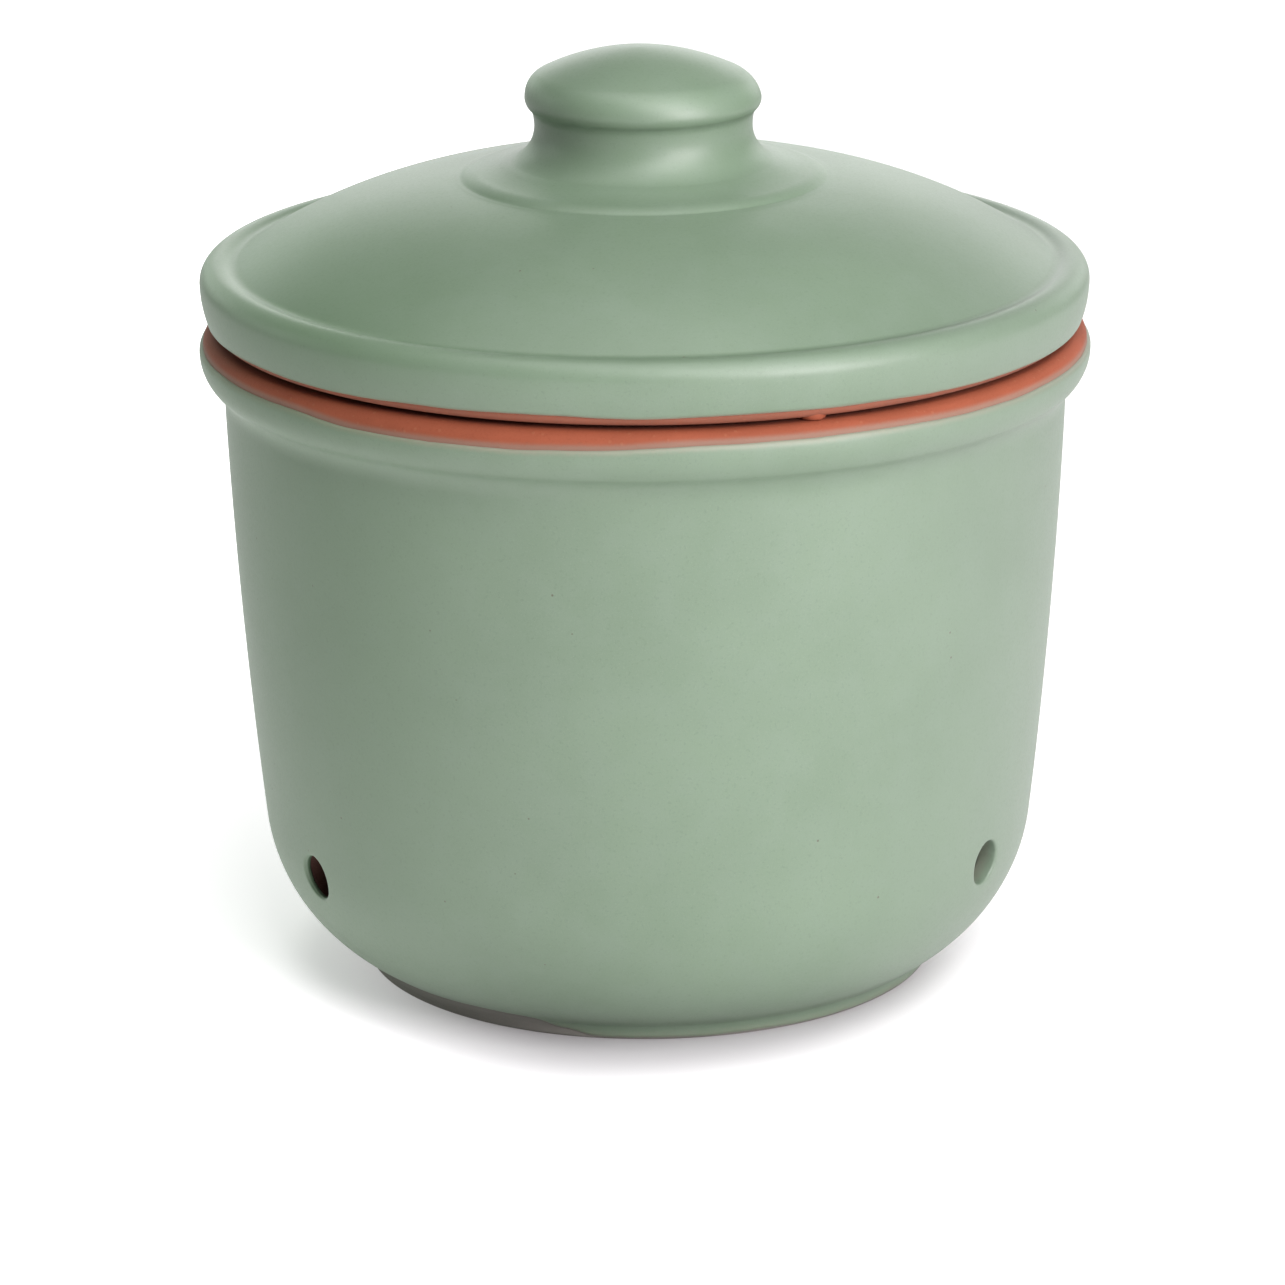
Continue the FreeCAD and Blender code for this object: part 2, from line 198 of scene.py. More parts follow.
BROAD_WAVE = 38
BROAD_DEPTH = 0.10
CLOSE_WAVE = 11
CLOSE_DEPTH = 0.035
CLOSE_SHIFT = Vector((7.3, 1.9, 4.4))
FOOT_WANDER = (0.25, 6.2, 3.1)
FOOT_FADE = 9
RIM_WANDER = (0.12, 7.6, 8.4)
RIM_FADE = 4
LID_WANDER = (0.1, 7.4, 5.7)
LID_FADE = 4
SMALL_WANDER = 0.45
SMALL_WANDER_RATE = 4.3
LID_SWAY = 0.1
LID_SWAY_FROM = 58
LID_SWAY_OVER = 12
LID_EDGE_WRAP = 0.84
RIM_GLAZE_RISE = (
    (-150, 0.2), (-100, 0.1), (-72, 0.0), (-50, 0.0), (-37, -0.8), (-18, -0.7), (-6, -0.35),
    (6, 0.4), (28, 0.4), (46, 0.0), (80, 0.0), (120, -0.3), (160, 0.1),
)
FOOT_GLAZE_RISE = (
    (-120, 1.2), (-90, 2.4), (-60, 2.8), (-44, 3.3), (-33, 4.0), (-25, 3.3), (-17, 0.9), (-11, 0.0),
    (2, -0.1), (50, -0.15), (90, 0.2), (125, 1.4), (160, 0.3),
)
LID_GLAZE_DROP = (
    (-150, 0.5), (-105, 0.6), (-78, 0.9), (-58, 0.6), (-45, 0.75), (-28, 0.3), (-14, 0.05), (0, 0.35),
    (16, 0.12), (30, 0.3), (46, 0.7), (66, 0.9), (95, 0.5), (140, 0.3),
)

# Wash, the attribute that the materials read. On a coat it is how thin the glaze is. On clay, 0 to 1
# is a pale film by the glaze's edge, 1 to 2 the grey of the foot, and below 0 painted shade.

RIM_THIN_REACH = 1.9
FOOT_THIN = 0.7
FOOT_THIN_REACH = 5
LID_THIN_REACH = 1.3
BORE_THIN = 0.15
BORE_THIN_RATE = 0.3
BORE_THIN_REACH = 2.0
# Painted shade: how dark the clay of the vents' bores is painted.
BORE_SHADE = 1.0
# Painted shadow of the lid on the rim's crest, inside and out: how dark it is and how far it reaches.
CREST_SHADE = 0.5
CREST_REACH = 1.9
RIM_FILM_REACH = 1.7
RIM_FILM_BELOW = 20
FOOT_GREY = 2.0
FOOT_GREY_REACH = 3
FOOT_GREY_FROM = 1.0
FOOT_GREY_TOP = 9
LID_FILM = 0.45
LID_FILM_FROM = 71.2
LID_FILM_ABOVE = 0.1


class Outline:
    """A line in the plane of the axis, laid out in short even steps."""

    def __init__(self, across, up):
        self.points = [Vector((across, up))]
        self.corners = []
        self.bends = []

    def line(self, across, up, ease=0):
        """Runs straight to a point, where the corner is eased over a reach."""
        start = self.points[-1]
        finish = Vector((across, up))
        steps = max(1, round((finish - start).length / LINE_STEP))
        self.points += [start.lerp(finish, step / steps) for step in range(1, steps + 1)]
        return self.ease(ease)

    def arc(self, across, up, radius, ease=0):
        """Bends to a point, to the left for a positive radius and to the right for a negative one."""
        start = self.points[-1]
        finish = Vector((across, up))
        chord = finish - start
        sideways = Vector((-chord.y, chord.x)).normalized()
        rise = math.sqrt(max(0, radius**2 - chord.length_squared / 4))
        middle = (start + finish) / 2 + sideways * math.copysign(rise, radius)
        from_middle = start - middle
        turn = 2 * math.asin(min(1, chord.length / (2 * abs(radius)))) * math.copysign(1, radius)
        steps = max(4, round(abs(turn * radius) / LINE_STEP))
        for step in range(1, steps + 1):
            share = turn * step / steps
            swung = Vector((
                from_middle.x * math.cos(share) - from_middle.y * math.sin(share),
                from_middle.x * math.sin(share) + from_middle.y * math.cos(share),
            ))
            self.points.append(middle + swung)
        last = len(self.points) - 1
        self.bends.append((last - steps, last, abs(radius) * BEND_STEP))
        return self.ease(ease)

    def ease(self, reach):
        if reach:
            self.corners.append((len(self.points) - 1, reach))
        return self

    def finish(self):
        """Rounds the eased corners and measures the line."""
        shaped = [point.copy() for point in self.points]
        for index, reach in self.corners:
            span = min(round(reach / LINE_STEP), index, len(self.points) - 1 - index)
            first, corner, last = (self.points[index + away] for away in (-span, 0, span))
            for step in range(2 * span + 1):
                share = step / (2 * span)
                near = first.lerp(corner, share)
                shaped[index - span + step] = near.lerp(corner.lerp(last, share), share)
        self.points = shaped
        self.lengths = [0.0]
        for before, after in zip(shaped, shaped[1:]):
            self.lengths.append(self.lengths[-1] + (after - before).length)
        self.fine = [(0.0, 0.0, END_STEP), (self.length, self.length, END_STEP)]
        for index, reach in self.corners:
            place = self.lengths[index]
            self.fine.append((place - reach, place + reach, reach * BEND_STEP * CORNER_COARSER))
        for first, last, step in self.bends:
            self.fine.append((self.lengths[first], self.lengths[last], step))
        return self

    @property
    def length(self):
        return self.lengths[-1]

    def at(self, along, inset=0.0):
        """Point at a length along the line, moved in from its outer side."""
        along = min(max(along, 0.0), self.length)
        low, high = 0, len(self.lengths) - 1
        while high - low > 1:
            middle = (low + high) // 2
            if self.lengths[middle] > along:
                high = middle
            else:
                low = middle
        step = self.lengths[high] - self.lengths[low]
        share = (along - self.lengths[low]) / step if step else 0
        point = self.points[low].lerp(self.points[high], share)
        if inset:
            before = self.points[max(0, low - 3)]
            after = self.points[min(len(self.points) - 1, high + 3)]
            run = (after - before).normalized()
            point = point - Vector((run.y, -run.x)) * inset
        return point

    def along_at_height(self, up):
        """First length along the line at which it passes a height."""
        for index, (before, after) in enumerate(zip(self.points, self.points[1:])):
            if (before.y - up) * (after.y - up) <= 0 and before.y != after.y:
                share = (up - before.y) / (after.y - before.y)
                return self.lengths[index] + share * (self.lengths[index + 1] - self.lengths[index])
        raise ValueError(f"the outline never reaches {up}")

    def across_at_height(self, up, inset=0.0):
        """How far from the axis the line is where it passes a height."""
        return self.at(self.along_at_height(up), inset).x

    def rows(self, coarse, anchor=None, anchor_step=None):
        """Lengths along the line for its rows, closer together where it bends and at both ends."""

        def step_at(along):
            if anchor is not None and abs(along - anchor) < anchor_step * (VENT_REACH - 0.5):
                return anchor_step
            step = coarse
            for first, last, bend_step in self.fine:
                away = max(first - along, along - last, 0.0)
                step = min(step, bend_step + away * STEP_GROWTH)
            return step

        start = anchor if anchor is not None else 0.0
        rows = [start]
        while rows[-1] < self.length:
            rows.append(rows[-1] + step_at(rows[-1]))
        while rows[0] > 0.0:
            rows.insert(0, rows[0] - step_at(rows[0]))
        gap = END_STEP * 0.6
        return [0.0, *(row for row in rows if gap < row < self.length - gap), self.length]


def smooth_share(value):
    """A value held between 0 and 1, with soft ends."""
    value = min(max(value, 0.0), 1.0)
    return value * value * (3 - 2 * value)


def unevenness(point):
    """Slight unevenness of hand work at a point, in millimetres. It is never outward."""
    broad = noise.noise(point / BROAD_WAVE)
    close = noise.noise(point / CLOSE_WAVE + CLOSE_SHIFT)
    return BROAD_DEPTH * (broad - 1) / 2 + CLOSE_DEPTH * (close - 1) / 2


# Outlines


def pot_glaze_line():
    """Glazed surface of the pot, from above the foot's bare edge up to the end of the glaze."""
    bead_across = RIM_RADIUS - BEAD_ROUND
    stop = math.sqrt(BEAD_ROUND**2 - (POT_GLAZE_TOP - BEAD_HEIGHT) ** 2)
    return (
        Outline(FOOT_RADIUS, pot_coat_low.z)
        .line(FOOT_RADIUS, FOOT_STRAIGHT)
        .arc(*FOOT_HOLLOW, -FOOT_HOLLOW_ROUND)
        .line(*WALL_START, ease=WALL_START_EASE)
        .arc(*WALL_FOOT, CORNER_ROUND)
        .arc(*WALL_TOP, WALL_ROUND, ease=WALL_TOP_EASE)
        .arc(RIM_RADIUS, BEAD_HEIGHT, BEAD_ROUND)
        .arc(bead_across + stop, POT_GLAZE_TOP, BEAD_ROUND)
        .finish()
    )


def pot_clay_outer_line(glaze):
    """Clay from the middle of the foot's recess, over the foot and under the glaze to the crest."""
    line = (
        Outline(0, FOOT_RECESS)
        .line(FOOT_RING_INNER - FOOT_RECESS, FOOT_RECESS, ease=RECESS_EASE)
        .line(FOOT_RING_INNER, 0, ease=FOOT_INNER_EASE)
        .line(FOOT_RADIUS - GLAZE_COAT, 0, ease=FOOT_OUTER_EASE)
        .line(FOOT_RADIUS - GLAZE_COAT, pot_coat_low.z + FOOT_JOIN)
    )
    steps = round(glaze.length / LINE_STEP)
    line.points += [
        glaze.at(glaze.length * step / steps, GLAZE_COAT) for step in range(JOIN_STEPS, steps + 1)
    ]
    edge = line.points[-1].x
    crest_edge = edge - RIM_ROUND
    return (
        line.arc(crest_edge, RIM_CREST, RIM_ROUND)
        .line((crest_edge + MOUTH_RADIUS + RIM_ROUND) / 2, RIM_CREST)
        .finish()
    )


def pot_clay_inner_line(crest_middle):
    """Clay from the middle of the rim's crest down the inside to the middle of the floor."""
    return (
        Outline(crest_middle, RIM_CREST)
        .line(MOUTH_RADIUS + RIM_ROUND, RIM_CREST)
        .arc(MOUTH_RADIUS, RIM_CREST - RIM_ROUND, RIM_ROUND)
        .arc(*INNER_WALL_FOOT, -WALL_ROUND)
        .arc(INNER_CORNER_ACROSS, INNER_FLOOR, -INNER_CORNER)
        .line(0, INNER_FLOOR)
        .finish()
    )


def lid_glaze_line():
    """Glazed surface of the lid, from its lower edge over the lip, dome and knob to the crown."""
    crown_reach = (KNOB_RADIUS - KNOB_EDGE) / math.cos(math.radians(SHOULDER_TURN))
    edge_across = LID_RADIUS - LID_EDGE_IN
    edge_round = LID_GLAZE_FOOT - SEAT + GLAZE_COAT
    start_across = edge_across - edge_round * (1 - math.cos(LID_EDGE_TURN))
    return (
        Outline(start_across, LID_GLAZE_FOOT - edge_round * math.sin(LID_EDGE_TURN))
        .arc(edge_across, LID_GLAZE_FOOT, edge_round)
        .arc(LID_RADIUS, WIDEST, LIP_SIDE_ROUND)
        .arc(*LIP_LAST, LIP_ROUND)
        .arc(*DOME_FIRST, -GROOVE_ROUND)
        .arc(COLLAR_START, COLLAR_FOOT - COLLAR_FOOT_DOWN, DOME_CURVE, ease=COLLAR_FOOT_EASE)
        .line(*COLLAR_TOP, ease=COLLAR_TOP_EASE)
        .arc(*NECK_FOOT, -NECK_FOOT_ROUND, ease=NECK_FOOT_EASE)
        .arc(NECK_RADIUS, WAIST, -NECK_ROUND)
        .arc(*CREASE, -CREASE_ROUND, ease=CREASE_EASE)
        .arc(KNOB_RADIUS, KNOB_WIDEST, KNOB_UNDER_ROUND)
        .arc(*KNOB_SHOULDER, KNOB_EDGE)
        .arc(0, CROWN_TOP, crown_reach + KNOB_EDGE)
        .finish()
    )


def lid_clay_line(glaze):
    """Clay of the lid from the end of the knob's hollow, down round the ring and up to the crown."""
    hollow_top = CROWN_TOP - GLAZE_COAT - KNOB_CROWN_THICKNESS
    hollow_round = KNOB_HOLLOW - KNOB_HOLLOW_FLAT
    ring_outer = MOUTH_RADIUS - RING_CLEARANCE
    ring_inner = ring_outer - RING_THICKNESS
    ring_round = RING_THICKNESS / 2
    edge_along = glaze.along_at_height(LID_GLAZE_FOOT)
    edge = glaze.at(edge_along, GLAZE_COAT)
    edge_round = edge.y - FLANGE_UNDER
    line = (
        Outline(0, hollow_top)
        .line(KNOB_HOLLOW_FLAT, hollow_top)
        .arc(KNOB_HOLLOW, hollow_top - hollow_round, -hollow_round)
        .line(KNOB_HOLLOW, COLLAR_FOOT - DOME_THICKNESS + HOLLOW_FOOT_UP, ease=HOLLOW_FOOT_EASE)
        .arc(ring_inner, WIDEST, -(DOME_CURVE - DOME_THICKNESS), ease=RING_TOP_EASE)
        .line(ring_inner, RING_END + ring_round)
        .arc(ring_inner + ring_round, RING_END, ring_round)
        .arc(ring_outer, RING_END + ring_round, ring_round)
        .line(ring_outer, FLANGE_UNDER, ease=RING_SEAT_EASE)
        .line(edge.x - edge_round, FLANGE_UNDER)
        .arc(edge.x, edge.y, edge_round)
    )
    run = glaze.length - edge_along
    steps = round(run / LINE_STEP)
    line.points += [
        glaze.at(edge_along + run * step / steps, GLAZE_COAT) for step in range(1, steps)
    ]
    line.points.append(Vector((0, CROWN_TOP - GLAZE_COAT)))
    return line.finish()


# Meshes


def turned(rows, closed):
    """Mesh turned round the axis from rows of (point, side, along). An open line ends on the axis."""
    mesh = bmesh.new()
    side_layer = mesh.verts.layers.int.new("side")
    along_layer = mesh.verts.layers.float.new("along")
    verts = []
    for point, side, along in rows:
        vert = mesh.verts.new((point.x, 0, point.y))
        vert[side_layer] = side
        vert[along_layer] = along
        verts.append(vert)
    for pair in zip(verts, verts[1:]):
        mesh.edges.new(pair)
    if closed:
        mesh.edges.new((verts[-1], verts[0]))
    sector = 2 * math.pi / 2**DOUBLINGS
    bmesh.ops.spin(
        mesh,
        geom=mesh.verts[:] + mesh.edges[:],
        cent=(0, 0, 0),
        axis=(0, 0, 1),
        angle=sector,
        steps=COLUMNS // 2**DOUBLINGS,
    )
    for doubling in range(DOUBLINGS):
        everything = mesh.verts[:] + mesh.edges[:] + mesh.faces[:]
        copied = bmesh.ops.duplicate(mesh, geom=everything)["geom"]
        verts = [item for item in copied if isinstance(item, bmesh.types.BMVert)]
        bmesh.ops.rotate(mesh, verts=verts, matrix=Matrix.Rotation(sector * 2**doubling, 3, "Z"))
    bmesh.ops.remove_doubles(mesh, verts=mesh.verts[:], dist=1e-3)
    return mesh


def move_rows(mesh, place):
    """Moves each vertex to the place for its side, its length along the outline and its turn."""
    side_layer = mesh.verts.layers.int["side"]
    along_layer = mesh.verts.layers.float["along"]
    for vert in mesh.verts:
        turn = math.atan2(vert.co.y, vert.co.x)
        point = place(vert[side_layer], vert[along_layer], turn)
        if point is not None and math.hypot(vert.co.x, vert.co.y) > 1e-4:
            vert.co = Vector((point.x * math.cos(turn), point.x * math.sin(turn), point.y))


def vent_axes(turn):
    """Directions outward along a vent and sideways across it."""
    angle = math.radians(turn)
    outward = Vector((math.cos(angle), math.sin(angle), 0))
    return outward, Vector((-outward.y, outward.x, 0))


def on_wall(vent, across, up, wall, depth=0.0):
    """Point in a round wall, from its place across and up the opening of a vent."""
    outward, sideways = vent_axes(vent.turn)
    reach = math.sqrt(max(0, wall**2 - across**2)) - depth
    return outward * reach + sideways * across + Vector((0, 0, vent.height + up))


def open_vent(mesh, vent, side, line, inset, anchor, step, upward):
    """Cuts a hole in a wall's grid and rounds the grid about it. Returns the hole's edges."""
    side_layer = mesh.verts.layers.int["side"]
    along_layer = mesh.verts.layers.float["along"]
    _, sideways = vent_axes(vent.turn)
    spare, rim = [], set()
    for vert in mesh.verts:
        if vert[side_layer] != side or abs(vert[along_layer] - anchor) > step * VENT_REACH:
            continue
        column = (math.degrees(math.atan2(vert.co.y, vert.co.x)) - vent.grid_turn) / COLUMN_TURN
        column = round((column + COLUMNS / 2) % COLUMNS - COLUMNS / 2)
        row = round((vert[along_layer] - anchor) / step) * upward
        span = max(abs(column), abs(row))
        if span >= VENT_REACH:
            continue
        if span < VENT_SPAN:
            spare.append(vert)
            continue
        if abs(column) >= abs(row):
            angle = math.pi / 4 * row / abs(column)
            angle = angle if column > 0 else math.pi - angle
        else:
            angle = math.pi / 2 - math.pi / 4 * column / abs(row)
            angle = angle if row > 0 else -angle
        old_across, old_up = vert.co.dot(sideways), vert.co.z - vent.height
        radius = VENT_RING + (span - VENT_SPAN) * step
        share = smooth_share((span - VENT_SPAN) / (VENT_REACH - VENT_SPAN))
        across = radius * math.cos(angle) * (1 - share) + old_across * share
        up = radius * math.sin(angle) * (1 - share) + old_up * share
        vert.co = on_wall(vent, across, up, line.across_at_height(vent.height + up, inset))
        if span == VENT_SPAN:
            rim.add(vert)
    bmesh.ops.delete(mesh, geom=spare, context="VERTS")
    return [edge for edge in mesh.edges if edge.is_boundary and rim.issuperset(edge.verts)]


def draw_in(mesh, edges, vent, line, inset, rings, side):
    """Carries a hole's edge inwards through rings of (radius, depth below the wall)."""
    side_layer = mesh.verts.layers.int["side"]
    along_layer = mesh.verts.layers.float["along"]
    _, sideways = vent_axes(vent.turn)
    for radius, depth in rings:
        made = bmesh.ops.extrude_edge_only(mesh, edges=edges)["geom"]
        verts = [item for item in made if isinstance(item, bmesh.types.BMVert)]
        ring = set(verts)
        edges = [item for item in made if isinstance(item, bmesh.types.BMEdge)]
        edges = [edge for edge in edges if ring.issuperset(edge.verts)]
        for vert in verts:
            across, up = vert.co.dot(sideways), vert.co.z - vent.height
            reach = math.hypot(across, up)
            across, up = across * radius / reach, up * radius / reach
            wall = line.across_at_height(vent.height + up, inset)
            vert.co = on_wall(vent, across, up, wall, depth)
            vert[side_layer] = side
            vert[along_layer] = abs(depth)
    return edges


def finish_piece(name, mesh, body, replaced, material, wash):
    """Turns a mesh in millimetres into a piece of the object in metres."""
    wash_layer = mesh.verts.layers.float.new("wash")
    for vert in mesh.verts:
        vert[wash_layer] = wash(vert)
    for vert in mesh.verts:
        flat = Vector((vert.co.x, vert.co.y, 0))
        if flat.length > 1e-6:
            vert.co += flat.normalized() * unevenness(vert.co)
        lean = smooth_share((vert.co.z - CREASE[1] - 1) / (CROWN_TOP - CREASE[1] - 3))
        vert.co.x += KNOB_LEAN * lean
    bmesh.ops.recalc_face_normals(mesh, faces=mesh.faces[:])
    bmesh.ops.scale(mesh, vec=(MM, MM, MM), verts=mesh.verts[:])
    for face in mesh.faces:
        face.smooth = True
    data = bpy.data.meshes.new(name)
    mesh.to_mesh(data)
    mesh.free()
    piece = bpy.data.objects.new(name, data)
    bpy.context.scene.collection.objects.link(piece)
    data.materials.append(material)
    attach(piece, body)
    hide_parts(replaced)


def round_wander(turn, reach, broad, seed):
    """How far a hand-made edge wanders at a turn round the axis."""
    place = Vector((math.cos(turn), math.sin(turn), seed)) * broad
    return reach * (noise.noise(place) + SMALL_WANDER * noise.noise(place * SMALL_WANDER_RATE))


def around(table, turn):
    """Value at a turn round the axis from a table of (degrees from the front toward +X, value)."""
    azimuth = (math.degrees(turn) + 90 + 180) % 360 - 180
    wrapped = [(table[-1][0] - 360, table[-1][1]), *table, (table[0][0] + 360, table[0][1])]
    for (first, before), (last, after) in zip(wrapped, wrapped[1:]):
        if first <= azimuth <= last:
            return before + (after - before) * smooth_share((azimuth - first) / (last - first))
    return 0.0


def coat_inset(along, length):
    """How far a coat's surface lies below its full build near its two rounded ends."""
    inset = 0.0
    for away in (along, length - along):
        if away < COAT_NOSE:
            inset = GLAZE_COAT * (1 - math.sqrt(1 - (1 - max(away, 0.0) / COAT_NOSE) ** 2))
    return inset


def coat_rows(line, coarse, anchor=None, anchor_step=None):
    """Closed loop of a coat's rows: its surface, and its back sunk a little in the clay."""
    front = line.rows(coarse, anchor, anchor_step)
    back = line.rows(coarse * 2, anchor, anchor_step)
    rows = [(line.at(row, coat_inset(row, line.length)), OUTSIDE, row) for row in front]
    rows += [(line.at(row, GLAZE_COAT + COAT_SINK), INSIDE, row) for row in reversed(back)]
    return rows


# Pieces


def run_in(rings, vent):
    """Rings of a vent's glaze lining, with those past its edge as deep as the glaze has run in."""
    return [
        (radius, depth * vent.glaze_depth if depth > VENT_EDGE_DEPTH else depth)
        for radius, depth in rings
    ]


def lid_sway(across, turn):
    """How much higher the loose lid's edge is at a turn. It sits a little lower on the right."""
    return -LID_SWAY * math.cos(turn) * smooth_share((across - LID_SWAY_FROM) / LID_SWAY_OVER)


def stretched(line, along, inset):
    """Point at a length along a line, run on straight past its ends."""
    near = min(max(along, 0.0), line.length)
    point = line.at(near, inset)
    if near == along:
        return point
    inner = line.at(near + (0.3 if near == 0 else -0.3), inset)
    run = (point - inner).normalized()
    return point + run * abs(along - near)


def make_pot_glaze(material):
    line = pot_glaze_line()
    anchor = line.along_at_height(VENT_HEIGHT)
    step = math.radians(COLUMN_TURN) * line.at(anchor).x
    back_inset = GLAZE_COAT + COAT_SINK
    mesh = turned(coat_rows(line, COAT_STEP, anchor, step), closed=True)

    def place(side, along, turn):
        foot = round_wander(turn, *FOOT_WANDER) + around(FOOT_GLAZE_RISE, turn)
        foot *= smooth_share(1 - along / FOOT_FADE)
        top = round_wander(turn, *RIM_WANDER) + around(RIM_GLAZE_RISE, turn)
        top *= smooth_share(1 - (line.length - along) / RIM_FADE)
        inset = coat_inset(along, line.length) if side == OUTSIDE else back_inset
        if abs(foot + top) < 1e-6:
            return line.at(along, inset)
        return stretched(line, along + foot + top, inset)

    move_rows(mesh, place)
    for vent in VENTS:
        front = open_vent(mesh, vent, OUTSIDE, line, 0, anchor, step, 1)
        front = draw_in(mesh, front, vent, line, 0, run_in(VENT_GLAZE_RINGS, vent), BORE)
        back = open_vent(mesh, vent, INSIDE, line, back_inset, anchor, step, 1)
        back = draw_in(mesh, back, vent, line, back_inset, run_in(VENT_GLAZE_BACK, vent), BORE_BACK)
        bmesh.ops.bridge_loops(mesh, edges=front + back)
    side_layer = mesh.verts.layers.int["side"]
    along_layer = mesh.verts.layers.float["along"]

    def thinness(vert):
        if vert[side_layer] in (BORE, BORE_BACK):
            return BORE_THIN + min(vert[along_layer], BORE_THIN_REACH) * BORE_THIN_RATE
        from_foot, from_rim = vert[along_layer], line.length - vert[along_layer]
        return max(0.0, 1 - from_rim / RIM_THIN_REACH, FOOT_THIN - from_foot / FOOT_THIN_REACH)

    finish_piece("pot_glaze_coat", mesh, "pot", "pot_glaze", material, thinness)


def make_pot_clay(material):
    glaze = pot_glaze_line()
    outer = pot_clay_outer_line(glaze)
    inner = pot_clay_inner_line(outer.points[-1].x)
    outer_anchor = outer.along_at_height(VENT_HEIGHT)
    inner_anchor = inner.along_at_height(VENT_HEIGHT)
    outer_step = math.radians(COLUMN_TURN) * outer.at(outer_anchor).x
    inner_step = math.radians(COLUMN_TURN) * inner.at(inner_anchor).x
    out_rows = outer.rows(POT_OUTSIDE_STEP, outer_anchor, outer_step)
    in_rows = inner.rows(POT_INSIDE_STEP, inner_anchor, inner_step)
    rows = [(outer.at(row), OUTSIDE, row) for row in out_rows]
    rows += [(inner.at(row), INSIDE, row) for row in in_rows[1:]]
    mesh = turned(rows, closed=False)
    for vent in VENTS:
        out = open_vent(mesh, vent, OUTSIDE, outer, 0, outer_anchor, outer_step, 1)
        out = draw_in(mesh, out, vent, outer, 0, VENT_CLAY_OUTER_RINGS, BORE)
        back = open_vent(mesh, vent, INSIDE, inner, 0, inner_anchor, inner_step, -1)
        back = draw_in(mesh, back, vent, inner, 0, VENT_CLAY_INNER_RINGS, BORE)
        bmesh.ops.bridge_loops(mesh, edges=out + back)
    side_layer = mesh.verts.layers.int["side"]
    along_layer = mesh.verts.layers.float["along"]
    glaze_end = outer.along_at_height(POT_GLAZE_TOP)
    foot_outside = outer.along_at_height(FOOT_GREY_FROM)

    def wash(vert):
        along = vert[along_layer]
        # The vents' bores get painted shade.
        if vert[side_layer] == BORE:
            return -BORE_SHADE
        # Painted shadow of the lid, darkest at the rim's crest and fading away from it.
        crest = outer.length - along if vert[side_layer] == OUTSIDE else along
        shade = CREST_SHADE * smooth_share(1 - crest / CREST_REACH)
        if vert[side_layer] == INSIDE:
            return -shade
        if along < glaze_end - RIM_FILM_BELOW:
            if vert.co.z >= FOOT_GREY_TOP:
                return 0.0
            grey = (along - foot_outside + FOOT_GREY_REACH) / FOOT_GREY_REACH
            return FOOT_GREY * smooth_share(grey)
        turn = math.atan2(vert.co.y, vert.co.x)
        above = along - glaze_end - around(RIM_GLAZE_RISE, turn)
        return 1 - smooth_share(above / RIM_FILM_REACH) - shade

    finish_piece("pot_clay_wall", mesh, "pot", "pot_body", material, wash)


def make_lid_glaze(material):
    line = lid_glaze_line()
    mesh = turned(coat_rows(line, COAT_STEP), closed=True)

    def place(side, along, turn):
        edge = round_wander(turn, *LID_WANDER) - around(LID_GLAZE_DROP, turn)
        edge = (edge + LID_EDGE_WRAP) * smooth_share(1 - along / LID_FADE)
        inset = coat_inset(along, line.length * 2) if side == OUTSIDE else GLAZE_COAT + COAT_SINK
        point = stretched(line, along + edge, inset)
        return Vector((point.x, point.y + lid_sway(point.x, turn)))

    move_rows(mesh, place)
    along_layer = mesh.verts.layers.float["along"]

    def thinness(vert):
        return max(0.0, 1 - vert[along_layer] / LID_THIN_REACH)

    finish_piece("lid_glaze_coat", mesh, "lid", "lid_glaze", material, thinness)


def make_lid_clay(material):
    line = lid_clay_line(lid_glaze_line())
    mesh = turned([(line.at(row), OUTSIDE, row) for row in line.rows(LID_CLAY_STEP)], closed=False)

    def place(side, along, turn):
        point = line.at(along)
        return Vector((point.x, point.y + lid_sway(point.x, turn)))

    move_rows(mesh, place)
    for turn in NUB_TURNS:
        angle = math.radians(turn)
        centre = Vector((NUB_RADIUS * math.cos(angle), NUB_RADIUS * math.sin(angle), 0))
        low, high = RIM_CREST, SEAT + NUB_SUNK
        made = bmesh.ops.create_cone(
            mesh,
            cap_ends=True,
            segments=NUB_SIDES,
            radius1=NUB_SIZE / 2,
            radius2=NUB_SIZE / 2 + NUB_FLARE,
            depth=high - low,
            matrix=Matrix.Translation(centre + Vector((0, 0, (low + high) / 2))),
        )["verts"]
        foot = {vert for vert in made if vert.co.z < (low + high) / 2}
        rim = [edge for edge in mesh.edges if foot.issuperset(edge.verts)]
        bmesh.ops.bevel(
            mesh, geom=rim, offset=NUB_EDGE, segments=3, profile=0.5, affect="EDGES", material=-1
        )

    def wash(vert):
        if not FLANGE_UNDER + LID_FILM_ABOVE <= vert.co.z <= WIDEST:
            return 0.0
        return LID_FILM * smooth_share(math.hypot(vert.co.x, vert.co.y) - LID_FILM_FROM)

    finish_piece("lid_clay_shell", mesh, "lid", "lid_body", material, wash)


# Materials


class Value:
    """A socket's value, or a plain number, that adds up in shader nodes."""

    def __init__(self, graph, source):
        self.graph = graph
        self.source = source

    def maths(self, operation, *values):
        made = self.graph.node("ShaderNodeMath", {"operation": operation}, dict(enumerate(values)))
        return made["Value"]

    def __add__(self, other):
        return self.maths("ADD", self, other)

    def __radd__(self, other):
        return self.maths("ADD", other, self)

    def __sub__(self, other):
        return self.maths("SUBTRACT", self, other)

    def __rsub__(self, other):
        return self.maths("SUBTRACT", other, self)

    def __mul__(self, other):
        return self.maths("MULTIPLY", self, other)

    def __rmul__(self, other):
        return self.maths("MULTIPLY", other, self)

    def __truediv__(self, other):
        return self.maths("DIVIDE", self, other)

    def clamped(self):
        return self.maths("MINIMUM", self.maths("MAXIMUM", self, 0.0), 1.0)

    def ramp(self, low, high):
        """0 at the low value and 1 at the high one, either way round, with soft ends."""
        share = ((self - low) / (high - low)).clamped()
        return share * share * (3.0 - 2.0 * share)


